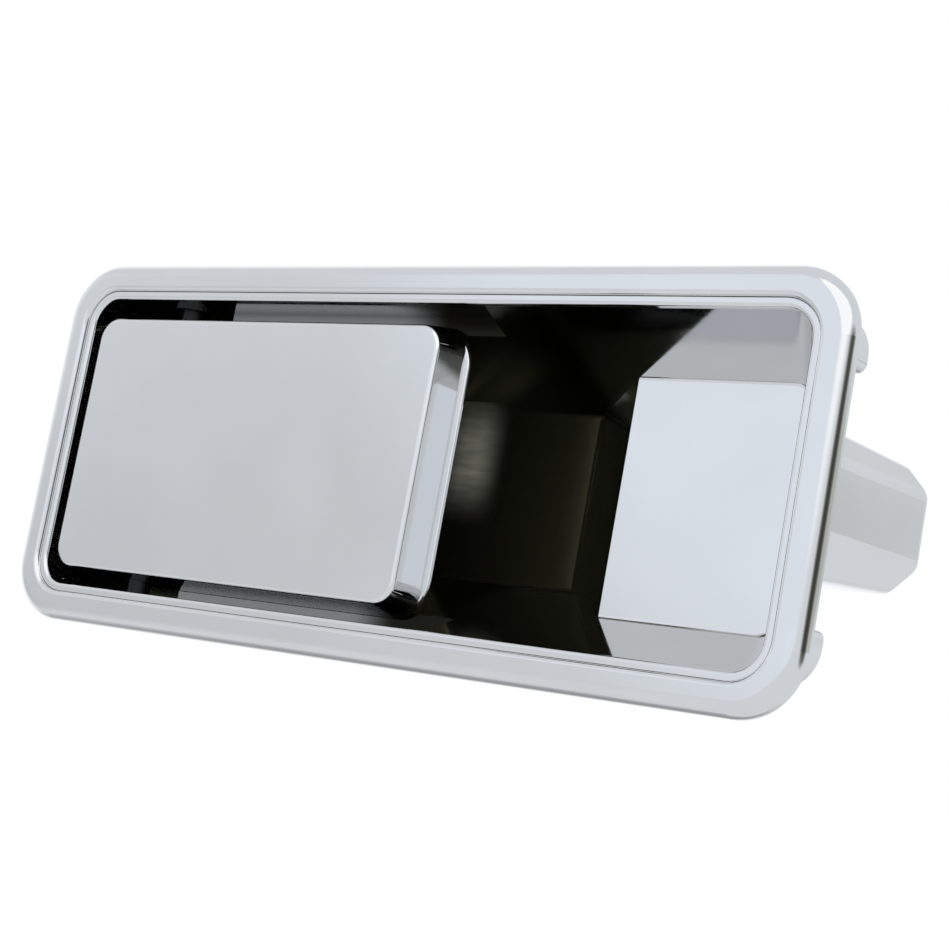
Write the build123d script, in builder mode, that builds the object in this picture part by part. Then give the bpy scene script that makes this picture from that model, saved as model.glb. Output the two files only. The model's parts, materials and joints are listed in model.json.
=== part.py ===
"""Flush pull handle for a vehicle door: a chromed frame with a sprung paddle and a finger cup.

Millimetres. X runs along the handle, Y into the door, Z up. The origin lies midway between the two
fixing holes, on the plane of the mounting posts' ends, so the front of the handle is at negative Y.
The posts lean up a little, so the handle's middle lies below the holes.
"""
from math import atan, cos, degrees, radians, sin, tan
import os

from build123d import *

os.makedirs("parts", exist_ok=True)

# Bezel: the bright rounded frame
bezel_length = 162.0
bezel_height = 66.0
bezel_corner_r = 10.5
bezel_band = 5.1          # width of the rounded band
bezel_t = 3.0             # from the crest to the rear face
bezel_outer_round = 2.4
bezel_inner_round = 0.8
bezel_clearance = 0.04    # between the bezel and the housing's collar

# Stack behind the bezel
seal_t = 1.1
seal_inset = 1.6
flange_t = 2.0
flange_inset = 1.8
pad_t = 1.4               # seat pads stand behind the flange at its corners
pad_inset_x = 0.8
pad_inset_z = 5.5
pad_width = 6.6
pad_height = 8.9
pad_corner_r = 6.4
pad_edge_r = 1.4
post_reach = 30.5         # from the seat pads to the ends of the posts

# Collar: the narrow lip inside the bezel
lip_width = 1.45
lip_drop = 0.8            # behind the bezel's crest
lip_round = 0.6
lip_outer_round = 0.2
wall = 1.8

# Cup and well, as depths behind the bezel's crest
relief_depth = 9.5        # ledge under the paddle's foot
well_depth = 17.5
shallow_depth = 18.3
deep_depth = 28.0
taper_start = 2.4
cup_draft = 24.0
opening_corner_r = 5.0
cup_floor_round = 1.5
shallow_floor_round = 0.6
casting_round = 1.4       # round the rear of the well

# Cup and well, as distances along X from the paddle's free edge
relief_reach = 7.6
shallow_reach = 28.6
deep_reach = 16.3
deep_undercut = 14.3
well_overlap = 6.0        # how far the well under the paddle runs into the cup
hinge_well_reach = 8.0    # past the hinge

# Mounting posts
post_inset = 12.0
post_rise = 1.3           # of the posts' ends above the handle's middle
post_end_width = 19.6
post_end_height = 20.2
post_end_chamfer = 4.2
post_base_width = 20.2
post_base_height = 23.4
post_base_chamfer = 5.8
post_edge_round = 3.2
post_end_round = 2.6
insert_r = 3.8
insert_length = 11.0
thread_r = 2.5

# Bezel screws
bezel_screw_inset_x = 3.1
bezel_screw_inset_z = 11.1
bezel_screw_r = 1.0
bezel_screw_head_r = 1.7
bezel_screw_head_t = 1.3
bezel_screw_socket_r = 0.9
bezel_screw_grip = 1.8    # length of screw in the bezel
screw_clearance = 0.1

# Paddle cover: a raised plate with sloping sides and a thin foot at its free end
paddle_share = 0.534      # of the opening's length
paddle_end_gap = 1.25     # between the opening's hinge end and the face
paddle_side_gap = 3.4     # between the opening's long sides and the face
hinge_end_gap = 0.55      # between the opening's hinge end and the cover's trimmed side
face_corner_r = 4.0
face_recess = 1.8         # behind the bezel's crest
cover_depth = 7.0
cover_spread = 1.4        # how far the sides spread over that depth
cover_wall = 1.6
foot_width = 0.8
foot_t = 0.9
face_round = 0.8
foot_round = 0.35

# Paddle carrier: the moulded lever under the cover
carrier_t = 4.0
carrier_gap = 0.25
carrier_corner_r = 2.5
ear_r = 4.0
ear_width = 6.0
ear_inset = 6.05
hinge_inset = 17.2        # from the face's hinge end
hinge_depth = 7.5         # behind the bezel's crest
pin_r = 2.0
pin_clearance = 0.03
bush_r = 3.0
bush_flange_r = 3.8
bush_flange_t = 0.8
notch_clearance = 0.6

plate_skin = 1.6
pocket_count = 3
pocket_rib_t = 2.6
pocket_end_inset = 11.0
pocket_side_inset = 14.0

# Screws that hold the cover to the carrier
cover_screw_side_inset = 7.55
cover_screw_hinge_inset = 37.2
cover_screw_free_inset = 7.3
cover_screw_r = 1.25
cover_screw_head_r = 2.3
cover_screw_head_t = 1.5
cover_screw_socket_r = 1.1
boss_r = 2.6
boss_height = 2.2

# Lever arm behind the well, with the clip for the latch rod
arm_t = 3.5
arm_tip_r = 4.2
arm_offset = 5.5          # of the rod's hole from the hinge, along X
arm_tip_y = -6.0
arm_clearance = 1.2
stop_gap = 0.5            # between the open arm and the end of its slot
open_angle = 25.0
rod_clip_r = 2.9
rod_clip_flange_r = 4.6
rod_clip_t = 1.2
rod_clip_reach = 12.0
rod_clip_saddle_length = 5.0
rod_r = 2.0

# Hinge pin's seat and clip
pin_seat = 1.0            # how far the pin's blind end sits in the lower wall
clip_r = 3.4
clip_t = 0.6
clip_groove_r = 1.6

# Stops and spring
bumper_inset = 24.3       # from the face's free edge
bumper_r = 3.6
bumper_height = 5.0
bumper_stem_r = 1.6
bumper_bulb_r = 2.3
bumper_bulb_t = 1.2
leg_r = 3.2
spring_wire_r = 0.6
spring_mean_r = 3.3
spring_turns = 6.2
spring_pitch = 1.6
spring_leg = 10.0
spring_room = 1.8         # free space beside the coil and its legs

# Places worked out from the sizes above
seat_y = -post_reach
flange_rear_y = seat_y - pad_t
flange_front_y = flange_rear_y - flange_t
bezel_rear_y = flange_front_y - seal_t
crest_y = bezel_rear_y - bezel_t
handle_z = -post_rise
lip_y = crest_y + lip_drop
taper_y = crest_y + taper_start
relief_y = crest_y + relief_depth
well_y = crest_y + well_depth
shallow_y = crest_y + shallow_depth
deep_y = crest_y + deep_depth
face_y = crest_y + face_recess
foot_y = face_y + cover_depth
hinge_y = crest_y + hinge_depth
plate_front_y = face_y + cover_wall
plate_rear_y = plate_front_y + carrier_t

collar_length = bezel_length - 2 * bezel_band
collar_height = bezel_height - 2 * bezel_band
collar_corner_r = opening_corner_r + lip_width
opening_length = collar_length - 2 * lip_width
opening_height = collar_height - 2 * lip_width
cup_slope = tan(radians(cup_draft))
post_x = bezel_length / 2 - post_inset
pad_x = bezel_length / 2 - pad_inset_x - pad_width / 2
pad_z = bezel_height / 2 - pad_inset_z - pad_height / 2
screw_span_x = bezel_length - 2 * bezel_screw_inset_x
screw_span_z = bezel_height - 2 * bezel_screw_inset_z
face_length = paddle_share * opening_length
face_height = opening_height - 2 * paddle_side_gap
face_start_x = -opening_length / 2 + paddle_end_gap
face_end_x = face_start_x + face_length
face_mid_x = (face_start_x + face_end_x) / 2
cover_start_x = -opening_length / 2 + hinge_end_gap
hinge_x = face_start_x + hinge_inset
relief_end_x = face_end_x + relief_reach
shallow_start_x = face_end_x + shallow_reach
deep_end_x = face_end_x + deep_reach
deep_start_x = face_end_x - deep_undercut
cover_draft = degrees(atan(cover_spread / cover_depth))
foot_spread = cover_spread + foot_width
plate_inset = cover_wall + carrier_gap
cover_screw_z = face_height / 2 - cover_screw_side_inset
cover_screw_places = [
    (x, z)
    for x in (face_start_x + cover_screw_hinge_inset, face_end_x - cover_screw_free_inset)
    for z in (-cover_screw_z, cover_screw_z)
]
pockets_start_x = hinge_x + spring_leg + pocket_rib_t
pocket_pitch = (face_end_x - pocket_end_inset - pockets_start_x) / pocket_count
pocket_height = face_height - 2 * pocket_side_inset
pocket_places = [(pockets_start_x + (i + 0.5) * pocket_pitch, 0) for i in range(pocket_count)]
pin_end_z = -opening_height / 2 - pin_seat
pin_top_z = opening_height / 2 + wall
ear_z = face_height / 2 - ear_inset
arm_x = hinge_x + arm_offset
arm_z = ear_z
arm_reach = arm_x + arm_tip_r - hinge_x
swing = radians(open_angle)
slot_start_x = hinge_x - arm_clearance
slot_end_x = hinge_x + (arm_reach + (well_y + wall - hinge_y) * sin(swing)) / cos(swing) + stop_gap
bumper_x = face_end_x - bumper_inset
bumper_z = cover_screw_z
bumper_front_y = well_y - bumper_height
coil_height = spring_pitch * spring_turns
window_height = coil_height + 2 * spring_room
leg_seat_y = hinge_y - spring_mean_r + spring_wire_r


def front_plane(y):
    """A sketch plane across the handle at depth y, looked at from the front."""
    return Plane(origin=(0, y, handle_z), x_dir=(1, 0, 0), z_dir=(0, -1, 0))


def level_plane(z):
    """A level sketch plane at height z over the handle's middle."""
    return Plane.XY.offset(handle_z + z)


def cup_form(grow, front_y):
    """The finger cup's space, or with grow the outside of its walls, from front_y to the floor."""
    end_x = opening_length / 2
    with BuildPart() as form:
        with BuildSketch(level_plane(0)):
            with BuildLine():
                Polyline(
                    (end_x + cup_slope * (taper_y - crest_y), crest_y),
                    (end_x - cup_slope * (shallow_y - taper_y), shallow_y),
                    (shallow_start_x, shallow_y),
                    (deep_end_x, deep_y),
                    (deep_start_x, deep_y),
                    (deep_start_x - cup_slope * (deep_y - crest_y), crest_y),
                    close=True,
                )
            make_face()
            if grow:
                offset(amount=grow, kind=Kind.INTERSECTION)
        extrude(amount=bezel_height, both=True)
        front_half = opening_height / 2 + cup_slope * (taper_y - crest_y)
        rear_half = opening_height / 2 - cup_slope * (deep_y - taper_y)
        with BuildSketch(Plane(origin=(0, 0, handle_z), x_dir=(0, 1, 0), z_dir=(1, 0, 0))):
            with BuildLine():
                Polyline(
                    (crest_y, front_half),
                    (deep_y, rear_half),
                    (deep_y, -rear_half),
                    (crest_y, -front_half),
                    close=True,
                )
            make_face()
            if grow:
                offset(amount=grow, kind=Kind.INTERSECTION)
        extrude(amount=bezel_length, both=True, mode=Mode.INTERSECT)
        end_wall = form.faces().sort_by(Axis.X)[-1]
        fillet(end_wall.edges().filter_by(Axis.Z, reverse=True), radius=opening_corner_r + grow)
        shallow_floor = form.faces().filter_by(Axis.Y).sort_by(Axis.X)[-1]
        fillet(shallow_floor.edges().sort_by(Axis.X)[1:], radius=shallow_floor_round + grow)
        deep_floor = form.faces().sort_by(Axis.Y)[-1]
        fillet(deep_floor.edges(), radius=cup_floor_round + grow)
        split(bisect_by=Plane.XZ.offset(-front_y), keep=Keep.BOTTOM)
    return form.part


# Bezel
with BuildPart() as bezel:
    with BuildSketch(front_plane(bezel_rear_y)):
        RectangleRounded(bezel_length, bezel_height, bezel_corner_r)
        RectangleRounded(
            collar_length + 2 * bezel_clearance,
            collar_height + 2 * bezel_clearance,
            collar_corner_r + bezel_clearance,
            mode=Mode.SUBTRACT,
        )
    extrude(amount=bezel_t)
    crest_edges = bezel.faces().sort_by(Axis.Y)[0]
    fillet(crest_edges.outer_wire().edges(), radius=bezel_outer_round)
    crest_edges = bezel.faces().sort_by(Axis.Y)[0]
    fillet(crest_edges.inner_wires()[0].edges(), radius=bezel_inner_round)
    with BuildSketch(front_plane(bezel_rear_y)):
        with GridLocations(screw_span_x, screw_span_z, 2, 2):
            Circle(bezel_screw_r)
    extrude(amount=bezel_screw_grip, mode=Mode.SUBTRACT)

bezel.part.label = "bezel"
export_step(bezel.part, "parts/bezel.step")

# Seal between the bezel and the housing
with BuildPart() as bezel_seal:
    with BuildSketch(front_plane(flange_front_y)):
        RectangleRounded(
            bezel_length - 2 * seal_inset,
            bezel_height - 2 * seal_inset,
            bezel_corner_r - seal_inset,
        )
        RectangleRounded(
            collar_length + 2 * bezel_clearance,
            collar_height + 2 * bezel_clearance,
            collar_corner_r + bezel_clearance,
            mode=Mode.SUBTRACT,
        )
        with GridLocations(screw_span_x, screw_span_z, 2, 2):
            Circle(bezel_screw_r + screw_clearance, mode=Mode.SUBTRACT)
    extrude(amount=seal_t)

bezel_seal.part.label = "bezel_seal"
export_step(bezel_seal.part, "parts/bezel_seal.step")

# Housing: flange, collar, paddle well, finger cup, seat pads and mounting posts in one casting
cup_outside = cup_form(wall, flange_front_y)
cup_inside = cup_form(0, taper_y)
opening_start_x = -opening_length / 2
relief_length = relief_end_x - opening_start_x
relief_mid_x = (relief_end_x + opening_start_x) / 2
hinge_well_length = hinge_x + hinge_well_reach - opening_start_x
hinge_well_mid_x = opening_start_x + hinge_well_length / 2
under_length = deep_start_x + well_overlap - hinge_x
under_mid_x = hinge_x + under_length / 2
under_height = opening_height - 2 * cup_slope * (relief_y - taper_y)
slanted_wall = wall / cos(radians(cup_draft))

with BuildPart() as housing:
    with BuildSketch(front_plane(flange_rear_y)):
        RectangleRounded(
            bezel_length - 2 * flange_inset,
            bezel_height - 2 * flange_inset,
            bezel_corner_r - flange_inset,
        )
    extrude(amount=flange_t)
    with BuildSketch(front_plane(flange_rear_y)):
        RectangleRounded(collar_length, collar_height, collar_corner_r)
    extrude(amount=flange_rear_y - lip_y)
    with BuildSketch(front_plane(relief_y + wall)):
        with Locations((relief_mid_x, 0)):
            RectangleRounded(relief_length + 2 * wall, opening_height + 2 * wall, collar_corner_r)
    extrude(amount=relief_y + wall - flange_front_y)
    with BuildSketch(front_plane(well_y + wall)):
        with Locations((hinge_well_mid_x, 0)):
            RectangleRounded(hinge_well_length + 2 * wall, opening_height + 2 * wall, collar_corner_r)
    extrude(amount=well_y + wall - flange_front_y)
    with BuildSketch(front_plane(relief_y)):
        with Locations((under_mid_x, 0)):
            Rectangle(under_length + 2 * slanted_wall, under_height + 2 * slanted_wall)
    extrude(amount=-(well_y + wall - relief_y), taper=cup_draft)
    fillet(housing.faces().sort_by(Axis.Y)[-1].edges(), radius=casting_round)
    add(cup_outside)
    with BuildSketch(front_plane(seat_y)) as pads:
        with Locations((pad_x, pad_z)):
            Rectangle(pad_width, pad_height)
        fillet(pads.vertices().group_by(Axis.X)[-1].sort_by(Axis.Y)[0], radius=pad_edge_r)
        fillet(pads.vertices().group_by(Axis.X)[-1].sort_by(Axis.Y)[-1], radius=pad_corner_r)
        mirror(about=Plane.XZ)
        mirror(about=Plane.YZ)
    extrude(amount=pad_t + flange_t)
    for side, outer in ((-1, 0), (1, -1)):
        with BuildSketch(Plane.XZ) as post_end:
            with Locations((side * post_x, 0)):
                Rectangle(post_end_width, post_end_height)
            chamfer(post_end.vertices().group_by(Axis.X)[outer], length=post_end_chamfer)
            fillet(post_end.vertices(), radius=post_edge_round)
        with BuildSketch(front_plane(flange_rear_y)) as post_base:
            with Locations((side * post_x, 0)):
                Rectangle(post_base_width, post_base_height)
            chamfer(post_base.vertices().group_by(Axis.X)[outer], length=post_base_chamfer)
            fillet(post_base.vertices(), radius=post_edge_round)
        loft()
    fillet(housing.faces().group_by(Axis.Y)[-1].edges(), radius=post_end_round)
    with BuildSketch(front_plane(lip_y)):
        RectangleRounded(opening_length, opening_height, opening_corner_r)
    extrude(amount=-(taper_y - lip_y), mode=Mode.SUBTRACT)
    with BuildSketch(front_plane(taper_y)) as relief_section:
        with Locations((relief_mid_x, 0)):
            Rectangle(relief_length, opening_height)
        fillet(relief_section.vertices().group_by(Axis.X)[0], radius=opening_corner_r)
    extrude(amount=-(relief_y - taper_y), mode=Mode.SUBTRACT)
    with BuildSketch(front_plane(relief_y)) as hinge_well_section:
        with Locations((hinge_well_mid_x, 0)):
            Rectangle(hinge_well_length, opening_height)
        fillet(hinge_well_section.vertices().group_by(Axis.X)[0], radius=opening_corner_r)
    extrude(amount=-(well_y - relief_y), mode=Mode.SUBTRACT)
    with BuildSketch(front_plane(relief_y)):
        with Locations((under_mid_x, 0)):
            Rectangle(under_length, under_height)
    extrude(amount=-(well_y - relief_y), taper=cup_draft, mode=Mode.SUBTRACT)
    add(cup_inside, mode=Mode.SUBTRACT)
    lip_face = housing.faces().sort_by(Axis.Y)[0]
    fillet(lip_face.inner_wires()[0].edges(), radius=lip_round)
    lip_face = housing.faces().sort_by(Axis.Y)[0]
    fillet(lip_face.outer_wire().edges(), radius=lip_outer_round)
    with BuildSketch(Plane.XZ):
        with GridLocations(2 * post_x, 1, 2, 1):
            Circle(insert_r)
    extrude(amount=insert_length, mode=Mode.SUBTRACT)
    with Locations(Plane(origin=(0, seat_y, handle_z), x_dir=(1, 0, 0), z_dir=(0, 1, 0))):
        with GridLocations(screw_span_x, screw_span_z, 2, 2):
            CounterBoreHole(
                radius=bezel_screw_r + screw_clearance,
                counter_bore_radius=bezel_screw_head_r + screw_clearance,
                counter_bore_depth=bezel_screw_head_t + screw_clearance,
                depth=pad_t + flange_t,
            )
    with BuildSketch(level_plane(pin_end_z)):
        with Locations((hinge_x, hinge_y)):
            Circle(pin_r + pin_clearance)
    extrude(amount=bezel_height, mode=Mode.SUBTRACT)
    with BuildSketch(front_plane(well_y)):
        with Locations(((slot_start_x + slot_end_x) / 2, arm_z)):
            Rectangle(slot_end_x - slot_start_x, arm_t + 2 * arm_clearance)
        with GridLocations(1, 2 * bumper_z, 1, 2):
            with Locations((bumper_x, 0)):
                Circle(bumper_stem_r)
    extrude(amount=-wall, mode=Mode.SUBTRACT)

housing.part.label = "housing"
export_step(housing.part, "parts/housing.step")

# Screws that hold the bezel, driven from behind the seat pads
with BuildPart() as bezel_screws:
    head_seat_y = seat_y - bezel_screw_head_t - screw_clearance
    with BuildSketch(front_plane(head_seat_y)):
        with GridLocations(screw_span_x, screw_span_z, 2, 2):
            Circle(bezel_screw_head_r)
    extrude(amount=-bezel_screw_head_t)
    with BuildSketch(front_plane(head_seat_y)):
        with GridLocations(screw_span_x, screw_span_z, 2, 2):
            Circle(bezel_screw_r)
    extrude(amount=head_seat_y - bezel_rear_y + bezel_screw_grip)
    with BuildSketch(front_plane(head_seat_y + bezel_screw_head_t)):
        with GridLocations(screw_span_x, screw_span_z, 2, 2):
            RegularPolygon(radius=bezel_screw_socket_r, side_count=6)
    extrude(amount=bezel_screw_head_t / 2, mode=Mode.SUBTRACT)

bezel_screws.part.label = "bezel_screws"
export_step(bezel_screws.part, "parts/bezel_screws.step")

# Threaded inserts in the posts
for side, side_name in ((-1, "left"), (1, "right")):
    with BuildPart() as mount_insert:
        with BuildSketch(Plane.XZ):
            with Locations((side * post_x, 0)):
                Circle(insert_r)
                Circle(thread_r, mode=Mode.SUBTRACT)
        extrude(amount=insert_length)
    mount_insert.part.label = f"mount_insert_{side_name}"
    export_step(mount_insert.part, f"parts/mount_insert_{side_name}.step")

# Paddle cover
with BuildPart() as paddle_cover:
    with BuildSketch(front_plane(foot_y)):
        with Locations((face_mid_x, 0)):
            RectangleRounded(
                face_length + 2 * cover_spread,
                face_height + 2 * cover_spread,
                face_corner_r + cover_spread,
            )
    extrude(amount=cover_depth, taper=cover_draft)
    fillet(paddle_cover.faces().sort_by(Axis.Y)[0].edges(), radius=face_round)
    with BuildSketch(front_plane(foot_y)):
        with Locations((face_mid_x, 0)):
            RectangleRounded(
                face_length + 2 * foot_spread,
                face_height + cover_spread,
                face_corner_r + foot_spread,
            )
    extrude(amount=foot_t)
    free_end = paddle_cover.faces().sort_by(Axis.X)[-1]
    fillet(free_end.edges().filter_by(Axis.Z), radius=foot_round)
    with BuildSketch(front_plane(foot_y)):
        with Locations((cover_start_x, 0)):
            Rectangle(bezel_band, bezel_height, align=(Align.MAX, Align.CENTER))
    extrude(amount=cover_depth, mode=Mode.SUBTRACT)
    with BuildSketch(front_plane(foot_y)):
        with Locations((face_mid_x, 0)):
            RectangleRounded(
                face_length + 2 * (cover_spread - cover_wall),
                face_height + 2 * (cover_spread - cover_wall),
                face_corner_r + cover_spread - cover_wall,
            )
    extrude(amount=cover_depth - cover_wall, taper=cover_draft, mode=Mode.SUBTRACT)
    with BuildSketch(front_plane(plate_front_y)):
        with Locations(*cover_screw_places):
            Circle(boss_r)
    extrude(amount=-boss_height)
    with BuildSketch(front_plane(plate_front_y + boss_height)):
        with Locations(*cover_screw_places):
            Circle(cover_screw_r)
    extrude(amount=boss_height, mode=Mode.SUBTRACT)
    with BuildSketch(level_plane(0)):
        with Locations((hinge_x, hinge_y)):
            Circle(pin_r + notch_clearance)
        with Locations((hinge_x, hinge_y)):
            Rectangle(2 * (pin_r + notch_clearance), cover_depth, align=(Align.CENTER, Align.MIN))
    extrude(amount=bezel_height, both=True, mode=Mode.SUBTRACT)

paddle_cover.part.label = "paddle_cover"
export_step(paddle_cover.part, "parts/paddle_cover.step")

# Paddle carrier: plate, hinge ears, lever arm and stop legs in one moulding
with BuildPart() as paddle_carrier:
    with BuildSketch(front_plane(plate_front_y)):
        with Locations((face_mid_x, 0)):
            RectangleRounded(
                face_length - 2 * plate_inset,
                face_height - 2 * plate_inset,
                carrier_corner_r,
            )
    extrude(amount=-carrier_t)
    with BuildSketch(front_plane(plate_rear_y)):
        with Locations(*pocket_places):
            RectangleRounded(pocket_pitch - pocket_rib_t, pocket_height, carrier_corner_r)
    extrude(amount=carrier_t - plate_skin, mode=Mode.SUBTRACT)
    for z in (-ear_z, ear_z):
        with BuildSketch(level_plane(z - ear_width / 2)):
            with Locations((hinge_x, hinge_y)):
                Circle(ear_r)
                Rectangle(2 * ear_r, hinge_y - plate_front_y, align=(Align.CENTER, Align.MAX))
        extrude(amount=ear_width)
    with BuildSketch(level_plane(arm_z - arm_t / 2)):
        with BuildLine():
            Polyline(
                (arm_x - arm_tip_r, arm_tip_y),
                (hinge_x, hinge_y),
                (hinge_x + arm_reach, plate_rear_y),
                (arm_x + arm_tip_r, arm_tip_y),
            )
            ThreePointArc(
                (arm_x + arm_tip_r, arm_tip_y),
                (arm_x, arm_tip_y + arm_tip_r),
                (arm_x - arm_tip_r, arm_tip_y),
            )
        make_face()
    extrude(amount=arm_t)
    with BuildSketch(front_plane(plate_rear_y)):
        with Locations((bumper_x, bumper_z), (bumper_x, -bumper_z)):
            Circle(leg_r)
    extrude(amount=-(bumper_front_y - plate_rear_y))
    with BuildSketch(front_plane(plate_front_y)):
        with Locations((hinge_x, 0)):
            Rectangle(2 * (spring_mean_r + spring_room), window_height)
    extrude(amount=-carrier_t, mode=Mode.SUBTRACT)
    with BuildSketch(front_plane(plate_front_y)):
        with Locations((hinge_x, -coil_height / 2)):
            Rectangle(spring_leg + spring_wire_r, 2 * spring_room, align=(Align.MIN, Align.CENTER))
    extrude(amount=-(leg_seat_y - plate_front_y), mode=Mode.SUBTRACT)
    with BuildSketch(front_plane(plate_front_y)):
        with Locations(*cover_screw_places):
            Circle(boss_r + carrier_gap)
    extrude(amount=-boss_height, mode=Mode.SUBTRACT)
    with BuildSketch(front_plane(plate_front_y)):
        with Locations(*cover_screw_places):
            Circle(cover_screw_r + screw_clearance)
    extrude(amount=-carrier_t, mode=Mode.SUBTRACT)
    with BuildSketch(level_plane(0)):
        with Locations((hinge_x, hinge_y)):
            Circle(bush_r)
    extrude(amount=bezel_height, both=True, mode=Mode.SUBTRACT)
    for side in (-1, 1):
        with BuildSketch(level_plane(side * (ear_z + ear_width / 2))):
            with Locations((hinge_x, hinge_y)):
                Circle(bush_flange_r + carrier_gap)
        extrude(amount=side * ear_width, mode=Mode.SUBTRACT)
    with BuildSketch(level_plane(arm_z - arm_t / 2)):
        with Locations((arm_x, arm_tip_y)):
            Circle(rod_clip_r)
    extrude(amount=arm_t, mode=Mode.SUBTRACT)

paddle_carrier.part.label = "paddle_carrier"
export_step(paddle_carrier.part, "parts/paddle_carrier.step")

# Screws that hold the cover
with BuildPart() as cover_screws:
    with BuildSketch(front_plane(plate_rear_y)):
        with Locations(*cover_screw_places):
            Circle(cover_screw_head_r)
    extrude(amount=-cover_screw_head_t)
    with BuildSketch(front_plane(plate_rear_y)):
        with Locations(*cover_screw_places):
            Circle(cover_screw_r)
    extrude(amount=carrier_t)
    with BuildSketch(front_plane(plate_rear_y + cover_screw_head_t)):
        with Locations(*cover_screw_places):
            RegularPolygon(radius=cover_screw_socket_r, side_count=6)
    extrude(amount=cover_screw_head_t / 2, mode=Mode.SUBTRACT)

cover_screws.part.label = "cover_screws"
export_step(cover_screws.part, "parts/cover_screws.step")

# Hinge pin, grooved for its clip
with BuildPart() as hinge_pin:
    with BuildSketch(level_plane(pin_end_z)):
        with Locations((hinge_x, hinge_y)):
            Circle(pin_r)
    extrude(amount=pin_top_z - pin_end_z)
    with BuildSketch(level_plane(opening_height / 2 - clip_t)):
        with Locations((hinge_x, hinge_y)):
            Circle(pin_r)
            Circle(clip_groove_r, mode=Mode.SUBTRACT)
    extrude(amount=clip_t, mode=Mode.SUBTRACT)

hinge_pin.part.label = "hinge_pin"
export_step(hinge_pin.part, "parts/hinge_pin.step")

# Clip that keeps the pin in the upper wall
with BuildPart() as hinge_clip:
    with BuildSketch(level_plane(opening_height / 2 - clip_t)):
        with Locations((hinge_x, hinge_y)):
            Circle(clip_r)
            Circle(clip_groove_r, mode=Mode.SUBTRACT)
            Rectangle(
                2 * clip_groove_r,
                clip_r,
                align=(Align.CENTER, Align.MIN),
                mode=Mode.SUBTRACT,
            )
    extrude(amount=clip_t)

hinge_clip.part.label = "hinge_clip"
export_step(hinge_clip.part, "parts/hinge_clip.step")

# Flanged bushes in the carrier's ears
for side, side_name in ((1, "upper"), (-1, "lower")):
    inner_z = side * (ear_z - ear_width / 2)
    outer_z = side * (ear_z + ear_width / 2)
    with BuildPart() as hinge_bush:
        with BuildSketch(level_plane(inner_z)):
            with Locations((hinge_x, hinge_y)):
                Circle(bush_r)
        extrude(amount=outer_z - inner_z)
        with BuildSketch(level_plane(outer_z)):
            with Locations((hinge_x, hinge_y)):
                Circle(bush_flange_r)
        extrude(amount=side * bush_flange_t)
        with BuildSketch(level_plane(inner_z)):
            with Locations((hinge_x, hinge_y)):
                Circle(pin_r + pin_clearance)
        extrude(amount=outer_z - inner_z + side * bush_flange_t, mode=Mode.SUBTRACT)
    hinge_bush.part.label = f"hinge_bush_{side_name}"
    export_step(hinge_bush.part, f"parts/hinge_bush_{side_name}.step")

# Return spring: a coil round the pin, one leg in the carrier and one on the floor of the well
with BuildLine() as coil_line:
    Helix(
        spring_pitch,
        coil_height,
        spring_mean_r,
        center=(hinge_x, hinge_y, handle_z - coil_height / 2),
        lefthand=True,
    )
coil = coil_line.edges()[0].rotate(Axis((hinge_x, hinge_y, 0), (0, 0, 1)), -90)
floor_leg = (well_y - spring_wire_r - (coil @ 1).Y) / (coil % 1).Y
with BuildPart() as return_spring:
    with BuildLine() as spring_line:
        add(coil)
        Line(coil @ 0, coil @ 0 - (coil % 0) * spring_leg)
        Line(coil @ 1, coil @ 1 + (coil % 1) * floor_leg)
    with BuildSketch(Plane(origin=coil @ 0, z_dir=coil % 0)):
        Circle(spring_wire_r)
    sweep(path=spring_line.wires()[0], is_frenet=True)

return_spring.part.label = "return_spring"
export_step(return_spring.part, "parts/return_spring.step")

# Rubber bumpers that the paddle rests on
for side, side_name in ((1, "upper"), (-1, "lower")):
    with BuildPart() as rest_bumper:
        with BuildSketch(front_plane(well_y)):
            with Locations((bumper_x, side * bumper_z)):
                Circle(bumper_r)
        extrude(amount=bumper_height)
        with BuildSketch(front_plane(well_y)):
            with Locations((bumper_x, side * bumper_z)):
                Circle(bumper_stem_r)
        extrude(amount=-wall)
        with BuildSketch(front_plane(well_y + wall)):
            with Locations((bumper_x, side * bumper_z)):
                Circle(bumper_bulb_r)
        extrude(amount=-bumper_bulb_t)
    rest_bumper.part.label = f"rest_bumper_{side_name}"
    export_step(rest_bumper.part, f"parts/rest_bumper_{side_name}.step")

# Clip for the latch rod: a bush in the lever arm with a saddle for the rod's straight run
with BuildPart() as rod_clip:
    with BuildSketch(level_plane(arm_z - arm_t / 2)):
        with Locations((arm_x, arm_tip_y)):
            Circle(rod_clip_r)
    extrude(amount=arm_t)
    with BuildSketch(level_plane(arm_z + arm_t / 2)):
        with Locations((arm_x, arm_tip_y)):
            Circle(rod_clip_flange_r)
            Rectangle(rod_clip_reach, 2 * (rod_r + rod_clip_t), align=(Align.MAX, Align.CENTER))
    extrude(amount=rod_clip_t)
    saddle_plane = Plane(origin=(arm_x - rod_clip_reach, 0, handle_z), x_dir=(0, 1, 0), z_dir=(1, 0, 0))
    with BuildSketch(saddle_plane):
        with Locations((arm_tip_y, arm_z + arm_t / 2 + rod_clip_t + rod_r)):
            Rectangle(2 * (rod_r + rod_clip_t), 2 * rod_r, align=(Align.CENTER, Align.CENTER))
            Circle(rod_r, mode=Mode.SUBTRACT)
            Rectangle(2 * rod_r - rod_clip_t, 2 * rod_r, align=(Align.CENTER, Align.MIN), mode=Mode.SUBTRACT)
    extrude(amount=rod_clip_saddle_length)
    with BuildSketch(level_plane(arm_z - arm_t / 2)):
        with Locations((arm_x, arm_tip_y)):
            Circle(rod_r)
    extrude(amount=arm_t + rod_clip_t, mode=Mode.SUBTRACT)

rod_clip.part.label = "rod_clip"
export_step(rod_clip.part, "parts/rod_clip.step")
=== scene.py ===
"""Looks for the car interior door handle: materials, fasteners, spring, stage, light and the photograph's view."""
import json
import math

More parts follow.
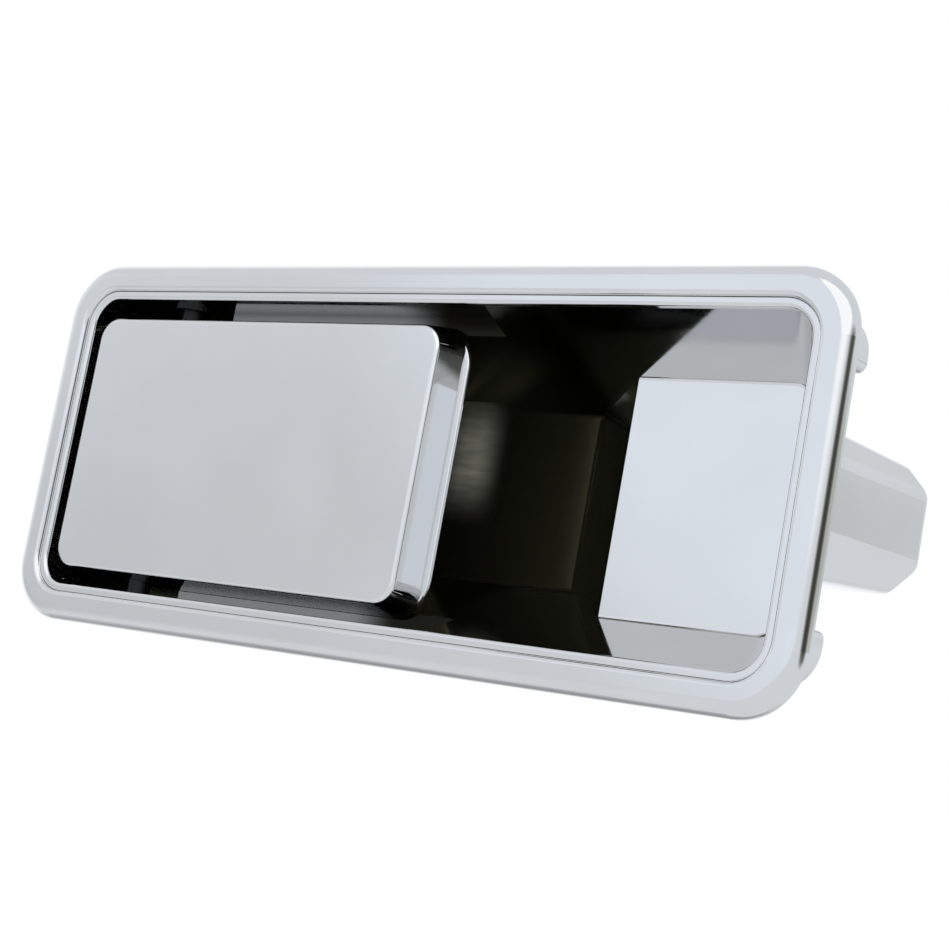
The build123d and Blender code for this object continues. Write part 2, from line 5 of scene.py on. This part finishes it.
import bpy
from mathutils import Matrix, Vector


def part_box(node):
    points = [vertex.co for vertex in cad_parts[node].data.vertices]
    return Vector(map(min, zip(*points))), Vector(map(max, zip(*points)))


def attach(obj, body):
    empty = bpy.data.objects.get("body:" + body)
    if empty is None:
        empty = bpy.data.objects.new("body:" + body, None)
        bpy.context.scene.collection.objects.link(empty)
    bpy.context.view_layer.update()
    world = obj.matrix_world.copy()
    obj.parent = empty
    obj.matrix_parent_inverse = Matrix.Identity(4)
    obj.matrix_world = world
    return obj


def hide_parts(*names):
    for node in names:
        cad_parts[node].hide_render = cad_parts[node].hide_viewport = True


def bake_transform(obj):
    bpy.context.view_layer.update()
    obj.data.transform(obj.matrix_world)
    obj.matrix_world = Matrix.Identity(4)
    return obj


MM = 0.001

# Camera, fitted to the frame's outline in the photograph
CAMERA_PLACE = Vector((221.02, -295.93, -48.05)) * MM
CAMERA_FORWARD = Vector((-0.60884, 0.78134, 0.13719))
CAMERA_UP = Vector((-0.05856, -0.21673, 0.97447))
CAMERA_LENS = 80.5
CAMERA_SENSOR = 36.0
CAMERA_CLIP = (0.01, 50)

# Stage
FLOOR_Z = -0.16
FLOOR_SIZE = 12.0
FLOOR_COLOUR = (0.86, 0.86, 0.86)
FLOOR_SPECKLE = 40
FLOOR_SPECKLE_SHADE = 0.99
FLOOR_ROUGH = 0.9
FLOOR_GLOW = 0.5          # to the camera only, so that the floor is as white as the surround
WHITE = (1, 1, 1, 1)

# Studio surround: patches laid one over another on a pale ground. Each has its bearing from straight out of the
# door, its height and its inner and outer reach, all in degrees, then how far it is flattened, and its colour.
GROUND_SHADE = (0.739, 0.773, 0.807)
PATCHES = (
    (-70, -2, 1, 43, 1.3, (0.595, 0.622, 0.650)),
    (-3, 20, 36, 44, 2.1, (0.849, 0.899, 0.980)),
    (34, 46, 48, 57, 2.3, (1.160, 1.172, 1.190)),
    (-81, 14, 1, 45, 2.8, (0.850, 0.890, 0.943)),
    (-125, -2, 37, 49, 0.7, (0.963, 0.973, 1.012)),
    (-136, -46, 17, 67, 3.4, (0.354, 0.361, 0.376)),
    (131, 8, 13, 29, 6.0, (0.478, 0.496, 0.466)),
    (95, 6, 1, 31, 1.4, (0.060, 0.058, 0.045)),
)

# Finishes: dark and light shade, range of roughness, metal share, scale of the patches and of the grain, and how
# strong the grain is
FINISHES = {
    "bright_chrome": ((0.79, 0.79, 0.79), (0.82, 0.82, 0.82), (0.03, 0.07), 1.0, 60, 900, 0.02),
    "black_moulding": ((0.008, 0.008, 0.009), (0.015, 0.015, 0.016), (0.42, 0.58), 0.0, 150, 4000, 0.25),
    "black_rubber": ((0.014, 0.014, 0.014), (0.026, 0.026, 0.026), (0.65, 0.85), 0.0, 200, 3000, 0.2),
    "plated_steel": ((0.55, 0.55, 0.57), (0.66, 0.65, 0.66), (0.22, 0.36), 1.0, 300, 3000, 0.1),
    "black_steel": ((0.022, 0.022, 0.024), (0.042, 0.041, 0.040), (0.34, 0.50), 1.0, 300, 3000, 0.1),
    "spring_steel": ((0.20, 0.19, 0.19), (0.34, 0.33, 0.32), (0.28, 0.45), 1.0, 400, 3000, 0.1),
    "clip_plastic": ((0.74, 0.72, 0.65), (0.82, 0.80, 0.74), (0.30, 0.42), 0.0, 150, 2500, 0.1),
    "insert_brass": ((0.66, 0.46, 0.18), (0.78, 0.58, 0.26), (0.20, 0.35), 1.0, 300, 3000, 0.1),
}
GRAIN_DEPTH = 0.1 * MM
NOISE_DETAIL = 3.0
NOISE_SPAN = (0.3, 0.7)   # where nearly all of a noise lies

# Recess of the housing under the paddle: painted shade that darkens its colour by depth, with more roughness, and
# less metal where the painted shade is deepest
RECESS_PAINTED_SHADE = (0.056, 0.054, 0.032)
RECESS_ROUGH = 0.22
RECESS_METAL = 0.75       # metal share where the painted shade is deepest
DEEPEST_SHADE_SHARE = 0.85         # share of painted shade from which the metal starts to give way
OUTWARDS_Y = 0.02         # a face whose normal has less along Y looks out of the door
RECESS_MIDDLE_Z = -1.3 * MM
RECESS_HALF_HEIGHT = 26.6 * MM
RECESS_ENDS_X = (-75.3 * MM, 22.6 * MM)
# Its ledge beside the paddle, with painted shade in part, darkest there, up to the pocket at the free end
LEDGE_PAINTED_SHADE = (0.020, 0.019, 0.014)
LEDGE_SHADE_Y = (-27 * MM, -22 * MM)
LEDGE_END_X = (-9 * MM, 2 * MM)
LEDGE_DEPTH_Y = (-34 * MM, -25 * MM)
POCKET_DEPTH_Y = (-36.6 * MM, -35.4 * MM)
# Its walls above and below, which get the painted shade too: how steep they are, and where they turn to the brighter
# walls of the cup, which keep a small share of it
WALL_SLOPE = (0.45, 0.75)
WALL_FADE_X = (-4 * MM, 24 * MM)
WALL_END_X = (24 * MM, 30 * MM)
LOWER_WALL_SHIFT = 16 * MM
CUP_WALL_SHARE = 0.15
# Painted highlight on the pocket's floor, a pale streaked patch in place of a reflection: its place and reach along
# X and Z
PAINTED_HIGHLIGHT_SHADE = (0.84, 0.82, 0.68)
PAINTED_HIGHLIGHT_MIDDLE = (-3.5 * MM, 5.5 * MM)
PAINTED_HIGHLIGHT_INNER = (1.0 * MM, 2.0 * MM)
PAINTED_HIGHLIGHT_OUTER = (8.0 * MM, 13.0 * MM)
PAINTED_HIGHLIGHT_DEPTH_Y = -12 * MM
PAINTED_HIGHLIGHT_STREAKS = (120, 120, 800)   # scale of the noise along X, Y and Z
PAINTED_HIGHLIGHT_FAINTEST = 0.75

# Threads and sockets, which the solids leave plain
RING_SIDES = 48
THREAD_ROWS = 8           # to one turn
INSERT_PITCH = 1.0 * MM
INSERT_THREAD = 0.45 * MM
INSERT_CHAMFER = 0.5 * MM
KNURL_DEPTH = 0.15 * MM
SCREW_PITCH = 0.5 * MM
SCREW_THREAD = 0.22 * MM
HEAD_ROUND = 0.5          # of the head's height
HEAD_ARC = (0, 22.5, 45, 67.5, 90)
SOCKET_SIDES = 6
SOCKET_DEPTH = 0.55       # of the head's height
SHARP_EDGE = math.radians(35)

# Screw groups: body, head radius, head height, shank radius and socket radius
SCREWS = {
    "bezel_screws": ("frame", 1.7 * MM, 1.3 * MM, 1.0 * MM, 0.9 * MM),
    "cover_screws": ("paddle", 2.3 * MM, 1.5 * MM, 1.25 * MM, 1.1 * MM),
}


def node_material(name):
    """A new material with its tree, its main shader and a texture coordinate."""
    material = bpy.data.materials.new(name)
    material.use_nodes = True
    tree = material.node_tree
    shader = tree.nodes["Principled BSDF"]
    coordinates = tree.nodes.new("ShaderNodeTexCoord")
    return material, tree, shader, coordinates.outputs["Object"]


def noise(tree, place, scale):
    """A soft noise over a place."""
    node = tree.nodes.new("ShaderNodeTexNoise")
    node.inputs["Scale"].default_value = scale
    node.inputs["Detail"].default_value = NOISE_DETAIL
    tree.links.new(place, node.inputs["Vector"])
    return node.outputs["Fac"]


def spread(tree, value, low, high, start=NOISE_SPAN[0], end=NOISE_SPAN[1], smooth=False):
    """Maps a stretch of a value, or else the span of a noise, onto a range of numbers."""
    node = tree.nodes.new("ShaderNodeMapRange")
    node.interpolation_type = "SMOOTHSTEP" if smooth else "LINEAR"
    node.inputs["From Min"].default_value = start
    node.inputs["From Max"].default_value = end
    node.inputs["To Min"].default_value = low
    node.inputs["To Max"].default_value = high
    tree.links.new(value, node.inputs["Value"])
    return node.outputs["Result"]


def tint(tree, value, dark, light):
    """A colour between two, by a noise."""
    node = tree.nodes.new("ShaderNodeValToRGB")
    for stop, position, shade in zip(node.color_ramp.elements, NOISE_SPAN, (dark, light)):
        stop.position = position
        stop.color = (*shade, 1)
    tree.links.new(value, node.inputs["Fac"])
    return node.outputs["Color"]


def relief(tree, value, shader, strength, distance):
    """Gives the shader a fine relief."""
    node = tree.nodes.new("ShaderNodeBump")
    node.inputs["Strength"].default_value = strength
    node.inputs["Distance"].default_value = distance
    tree.links.new(value, node.inputs["Height"])
    tree.links.new(node.outputs["Normal"], shader.inputs["Normal"])


def arithmetic(tree, operation, first, second):
    """A number worked out from one or two terms; each is a number or a socket."""
    node = tree.nodes.new("ShaderNodeMath")
    node.operation = operation
    for term, socket in zip((first, second), node.inputs):
        if isinstance(term, (int, float)):
            socket.default_value = term
        else:
            tree.links.new(term, socket)
    return node.outputs["Value"]


def vector_arithmetic(tree, operation, first, second):
    """A vector worked out from one term and a fixed one; gives all the node's outputs."""
    node = tree.nodes.new("ShaderNodeVectorMath")
    node.operation = operation
    tree.links.new(first, node.inputs[0])
    node.inputs[1].default_value = second
    return node.outputs


def blend(tree, share, first, second, kind="FLOAT"):
    """A mix of two numbers or colours; each is fixed or a socket."""
    node = tree.nodes.new("ShaderNodeMix")
    node.data_type = kind
    tree.links.new(share, node.inputs["Factor"])
    for term, name in ((first, "A"), (second, "B")):
        if isinstance(term, bpy.types.NodeSocket):
            tree.links.new(term, node.inputs[name])
        else:
            node.inputs[name].default_value = term
    return node.outputs["Result"]


def finish_material(name, dark, light, rough, metallic, patch, grain, bump):
    """A material whose colour and roughness drift in patches over a fine grain."""
    material, tree, shader, place = node_material(name)
    patches = noise(tree, place, patch)
    tree.links.new(tint(tree, patches, dark, light), shader.inputs["Base Color"])
    tree.links.new(spread(tree, patches, *rough), shader.inputs["Roughness"])
    shader.inputs["Metallic"].default_value = metallic
    relief(tree, noise(tree, place, grain), shader, bump, GRAIN_DEPTH)
    return material


def coordinate(tree, name):
    """The three parts of a texture coordinate."""
    node = tree.nodes.new("ShaderNodeSeparateXYZ")
    tree.links.new(tree.nodes["Texture Coordinate"].outputs[name], node.inputs["Vector"])
    return [node.outputs[axis] for axis in "XYZ"]


def painted_highlight_share(tree, x, y, z, outwards):
    """How far the painted highlight covers the pocket's floor."""
    share = arithmetic(tree, "MULTIPLY", arithmetic(tree, "GREATER_THAN", y, PAINTED_HIGHLIGHT_DEPTH_Y), outwards)
    for value, middle, inner, outer in zip((x, z), PAINTED_HIGHLIGHT_MIDDLE, PAINTED_HIGHLIGHT_INNER, PAINTED_HIGHLIGHT_OUTER):
        away = arithmetic(tree, "ABSOLUTE", arithmetic(tree, "SUBTRACT", value, middle), 0)
        share = arithmetic(tree, "MULTIPLY", share, spread(tree, away, 1, 0, inner, outer, smooth=True))
    place = tree.nodes["Texture Coordinate"].outputs["Object"]
    streaks = noise(tree, vector_arithmetic(tree, "MULTIPLY", place, PAINTED_HIGHLIGHT_STREAKS)["Vector"], 1)
    return arithmetic(tree, "MULTIPLY", share, spread(tree, streaks, PAINTED_HIGHLIGHT_FAINTEST, 1))


def paint_recess_shade(material):
    """Paints shade into the colour of the housing in the recess under the paddle, which is also made rougher and
    partly less metallic.
    """
    tree = material.node_tree
    shader = tree.nodes["Principled BSDF"]
    x, y, z = coordinate(tree, "Object")
    facing_y, facing_z = coordinate(tree, "Normal")[1:]
    outwards = arithmetic(tree, "LESS_THAN", facing_y, OUTWARDS_Y)

    # How far the shade is painted: by depth, then within the recess's bounds
    share = blend(
        tree,
        spread(tree, x, 0, 1, *LEDGE_END_X, smooth=True),
        spread(tree, y, 0, 1, *LEDGE_DEPTH_Y, smooth=True),
        spread(tree, y, 0, 1, *POCKET_DEPTH_Y, smooth=True),
    )
    steep = spread(tree, arithmetic(tree, "ABSOLUTE", facing_z, 0), 0, 1, *WALL_SLOPE, smooth=True)
    lower = arithmetic(tree, "LESS_THAN", z, RECESS_MIDDLE_Z)
    wall_x = arithmetic(tree, "ADD", x, arithmetic(tree, "MULTIPLY", lower, LOWER_WALL_SHIFT))
    along = blend(
        tree,
        steep,
        arithmetic(tree, "LESS_THAN", x, RECESS_ENDS_X[1]),
        spread(tree, wall_x, 1, CUP_WALL_SHARE, *WALL_END_X, smooth=True),
    )
    offset = arithmetic(tree, "ABSOLUTE", arithmetic(tree, "SUBTRACT", z, RECESS_MIDDLE_Z), 0)
    for limit in (
        outwards,
        along,
        arithmetic(tree, "GREATER_THAN", x, RECESS_ENDS_X[0]),
        arithmetic(tree, "LESS_THAN", offset, RECESS_HALF_HEIGHT),
    ):
        share = arithmetic(tree, "MULTIPLY", share, limit)

    # Painted shade and roughness, with the painted highlight over them
    colour, rough = shader.inputs["Base Color"], shader.inputs["Roughness"]
    depth = spread(tree, y, 0, 1, *LEDGE_SHADE_Y, smooth=True)
    painted_shade = blend(tree, depth, (*LEDGE_PAINTED_SHADE, 1), (*RECESS_PAINTED_SHADE, 1), "RGBA")
    tree.links.new(blend(tree, share, colour.links[0].from_socket, painted_shade, "RGBA"), colour)
    tree.links.new(blend(tree, share, rough.links[0].from_socket, RECESS_ROUGH), rough)
    # Painted highlight: a pale streaked patch on the pocket's floor, in place of a reflection
    painted_highlight = painted_highlight_share(tree, x, y, z, outwards)
    tree.links.new(blend(tree, painted_highlight, colour.links[0].from_socket, (*PAINTED_HIGHLIGHT_SHADE, 1), "RGBA"), colour)

    # Metal, which gives way where the painted shade is deepest and under the painted highlight
    fading = arithmetic(tree, "MULTIPLY", steep, spread(tree, wall_x, 0, 1, *WALL_FADE_X, smooth=True))
    less_metal = spread(tree, share, 0, 1, DEEPEST_SHADE_SHARE, 1)
    less_metal = arithmetic(tree, "MULTIPLY", less_metal, arithmetic(tree, "SUBTRACT", 1, fading))
    metal = spread(tree, less_metal, 1, RECESS_METAL, 0, 1)
    metal = arithmetic(tree, "MULTIPLY", metal, arithmetic(tree, "SUBTRACT", 1, painted_highlight))
    tree.links.new(metal, shader.inputs["Metallic"])
    shader.inputs["Specular IOR Level"].default_value = 0


def ring(radius, along):
    """A ring of points about the Z axis; the radius is a number or a function of the angle."""
    points = []
    for side in range(RING_SIDES):
        angle = math.tau * side / RING_SIDES
        reach = radius(angle) if callable(radius) else radius
        points.append(Vector((reach * math.cos(angle), reach * math.sin(angle), along)))
    return points


def thread_rings(radius, depth, pitch, start, end):
    """Rings along a helical V thread that goes depth outwards from the radius, or inwards if it is negative."""
    count = max(2, round(abs(end - start) / pitch * THREAD_ROWS))
    rings = []
    for row in range(count + 1):
        along = start + (end - start) * row / count

        def reach(angle, along=along):
            phase = (along / pitch - angle / math.tau) % 1
            return radius + depth * (1 - abs(2 * phase - 1))

        rings.append(ring(reach, along))
    return rings


def add_skin(points, faces, rings, place, closed):
    """Adds the skin over a row of rings: a closed loop of them, or one with a cap at each end."""
    base = len(points)
    for loop in rings:
        points.extend(place @ point for point in loop)
    pairs = [(row, row + 1) for row in range(len(rings) - 1)]
    if closed:
        pairs.append((len(rings) - 1, 0))
    for lower, upper in pairs:
        for side in range(RING_SIDES):
            following = (side + 1) % RING_SIDES
            first, second = base + lower * RING_SIDES, base + upper * RING_SIDES
            faces.append((first + side, first + following, second + following, second + side))
    if not closed:
        faces.append([base + side for side in reversed(range(RING_SIDES))])
        faces.append([base + (len(rings) - 1) * RING_SIDES + side for side in range(RING_SIDES)])


def finish_piece(name, points, faces, node, body, material):
    """Makes the mesh piece that stands for a solid."""
    mesh = bpy.data.meshes.new(name)
    mesh.from_pydata(points, [], faces)
    mesh.validate()
    mesh.shade_smooth()
    mesh.set_sharp_from_angle(angle=SHARP_EDGE)
    mesh.materials.append(material)
    piece = bpy.data.objects.new(name, mesh)
    bpy.context.scene.collection.objects.link(piece)
    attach(piece, body)
    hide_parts(node)


def facing_rear(x, y, z):
    """Places a turned form with its axis pointing into the door."""
    return Matrix.Translation((x, y, z)) @ Matrix.Rotation(-math.pi / 2, 4, "X")


def make_insert(node, thread_radius, material):
    """A threaded insert: knurled outside, chamfered, with an inner thread."""
    low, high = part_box(node)
    outer = (high[0] - low[0]) / 2
    length = high[1] - low[1]

    def knurl(angle):
        return outer - KNURL_DEPTH * (round(angle / math.tau * RING_SIDES) % 2)

    rings = [
        ring(outer - KNURL_DEPTH, 0),
        ring(knurl, -KNURL_DEPTH),
        ring(knurl, KNURL_DEPTH - length),
        ring(outer - KNURL_DEPTH, -length),
    ]
    rings += thread_rings(thread_radius, INSERT_THREAD, INSERT_PITCH, -length, -INSERT_CHAMFER)
    rings.append(ring(thread_radius + INSERT_CHAMFER, 0))
    points, faces = [], []
    place = facing_rear((low[0] + high[0]) / 2, high[1], (low[2] + high[2]) / 2)
    add_skin(points, faces, rings, place, closed=True)
    finish_piece(f"{node}_threaded", points, faces, node, "frame", material)


def screw_rings(head_r, head_t, shank_r, socket_r, length):
    """A button head with a hexagon socket and a threaded shank, from the socket's floor to the tip."""

    def hexagon(angle):
        sector = math.tau / SOCKET_SIDES
        return socket_r * math.cos(sector / 2) / math.cos(angle % sector - sector / 2)

    floor = -head_t * SOCKET_DEPTH
    edge = head_t * HEAD_ROUND
    rings = [ring(hexagon, floor), ring(hexagon, 0)]
    for turn in HEAD_ARC:
        sweep = math.radians(turn)
        rings.append(ring(head_r - edge + edge * math.sin(sweep), edge * math.cos(sweep) - edge))
    rings.append(ring(head_r, -head_t))
    rings += thread_rings(shank_r, -SCREW_THREAD, SCREW_PITCH, -head_t, 2 * SCREW_THREAD - length)
    rings.append(ring(shank_r - 2 * SCREW_THREAD, -length))
    return rings


def make_screws(node, material):
    """A group of four screws, one at each corner of its box, with their heads to the rear."""
    body, head_r, head_t, shank_r, socket_r = SCREWS[node]
    low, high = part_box(node)
    rings = screw_rings(head_r, head_t, shank_r, socket_r, high[1] - low[1])
    points, faces = [], []
    for x in (low[0] + head_r, high[0] - head_r):
        for z in (low[2] + head_r, high[2] - head_r):
            add_skin(points, faces, rings, facing_rear(x, high[1], z), closed=False)
    finish_piece(f"{node}_threaded", points, faces, node, body, material)


def make_spring(node, solid, material):
    """The return spring: a copy of its solid with the given material, standing in for the solid."""
    piece = bpy.data.objects.new(f"{node}_winding", solid.data.copy())
    bpy.context.scene.collection.objects.link(piece)
    piece.material_slots[0].material = material
    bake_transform(piece)
    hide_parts(node)


def make_camera():
    """The photograph's view."""
    data = bpy.data.cameras.new("camera")
    data.sensor_width = CAMERA_SENSOR
    data.lens = CAMERA_LENS
    data.clip_start, data.clip_end = CAMERA_CLIP
    camera = bpy.data.objects.new("camera", data)
    bpy.context.scene.collection.objects.link(camera)
    back = -CAMERA_FORWARD.normalized()
    right = CAMERA_UP.cross(back).normalized()
    up = back.cross(right)
    turn = Matrix((right, up, back)).transposed()
    camera.matrix_world = Matrix.Translation(CAMERA_PLACE) @ turn.to_4x4()
    bpy.context.scene.camera = camera


def make_floor():
    """A pale floor, which the metal doesn't reflect: it shows the surround instead."""
    mesh = bpy.data.meshes.new("floor")
    half = FLOOR_SIZE / 2
    corners = [(x * half, y * half, FLOOR_Z) for x, y in ((-1, -1), (1, -1), (1, 1), (-1, 1))]
    mesh.from_pydata(corners, [], [(0, 1, 2, 3)])
    floor = bpy.data.objects.new("floor", mesh)
    bpy.context.scene.collection.objects.link(floor)
    material, tree, shader, place = node_material("floor")
    speckle = noise(tree, place, FLOOR_SPECKLE)
    dark = tuple(channel * FLOOR_SPECKLE_SHADE for channel in FLOOR_COLOUR)
    tree.links.new(tint(tree, speckle, dark, FLOOR_COLOUR), shader.inputs["Base Color"])
    shader.inputs["Roughness"].default_value = FLOOR_ROUGH
    shader.inputs["Emission Color"].default_value = WHITE
    rays = tree.nodes.new("ShaderNodeLightPath")
    glow = arithmetic(tree, "MULTIPLY", rays.outputs["Is Camera Ray"], FLOOR_GLOW)
    tree.links.new(glow, shader.inputs["Emission Strength"])
    mesh.materials.append(material)
    floor.visible_glossy = False


def make_surround():
    """White to the camera; for the rest the studio's patches of light and dark."""
    world = bpy.data.worlds.new("studio")
    bpy.context.scene.world = world
    world.use_nodes = True
    tree = world.node_tree
    coordinates = tree.nodes.new("ShaderNodeTexCoord")
    shade = (*GROUND_SHADE, 1)
    for bearing, height, inner, outer, flat, colour in PATCHES:
        turn = math.radians(bearing)
        level = (0, 0, math.sin(math.radians(height)))
        ray = vector_arithmetic(tree, "SUBTRACT", coordinates.outputs["Generated"], level)["Vector"]
        ray = vector_arithmetic(tree, "MULTIPLY", ray, (1, 1, flat))["Vector"]
        ray = vector_arithmetic(tree, "NORMALIZE", ray, (0, 0, 0))["Vector"]
        nearness = vector_arithmetic(tree, "DOT_PRODUCT", ray, (math.sin(turn), -math.cos(turn), 0))["Value"]
        ends = math.cos(math.radians(outer)), math.cos(math.radians(inner))
        share = spread(tree, nearness, 0, 1, *ends, smooth=True)
        shade = blend(tree, share, shade, (*colour, 1), "RGBA")

    rays = tree.nodes.new("ShaderNodeLightPath")
    seen = blend(tree, rays.outputs["Is Camera Ray"], shade, WHITE, "RGBA")
    tree.links.new(seen, tree.nodes["Background"].inputs["Color"])


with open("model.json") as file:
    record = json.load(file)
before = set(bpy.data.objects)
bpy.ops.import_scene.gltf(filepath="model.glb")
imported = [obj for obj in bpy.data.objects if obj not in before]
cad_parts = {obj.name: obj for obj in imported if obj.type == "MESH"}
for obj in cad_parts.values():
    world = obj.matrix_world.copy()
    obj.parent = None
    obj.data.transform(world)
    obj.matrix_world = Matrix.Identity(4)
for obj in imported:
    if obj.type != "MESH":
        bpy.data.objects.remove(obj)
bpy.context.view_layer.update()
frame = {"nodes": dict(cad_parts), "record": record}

bpy.context.scene.view_settings.view_transform = "Standard"
make_camera()
make_surround()
make_floor()

materials = {name: finish_material(name, *finish) for name, finish in FINISHES.items()}
slots = {part["node"]: part["material_slot"] for part in frame["record"]["subparts"]}
for node, part in frame["nodes"].items():
    part.material_slots[0].material = materials[slots[node]]
# The housing's chrome, with painted shade in its recess and a painted highlight on the pocket's floor
chrome_with_painted_light = materials["bright_chrome"].copy()
chrome_with_painted_light.name = "chrome_with_painted_light"
paint_recess_shade(chrome_with_painted_light)
frame["nodes"]["housing"].material_slots[0].material = chrome_with_painted_light

mounts = {mount["name"]: mount for mount in frame["record"]["mounts"]}
bolt_radius = mounts["fixing_holes"]["dims"]["hole_r_mm"] * MM
for side_name in ("left", "right"):
    make_insert(f"mount_insert_{side_name}", bolt_radius, materials["insert_brass"])
for node in SCREWS:
    make_screws(node, materials[slots[node]])
make_spring("return_spring", frame["nodes"]["return_spring"], materials["spring_steel"])
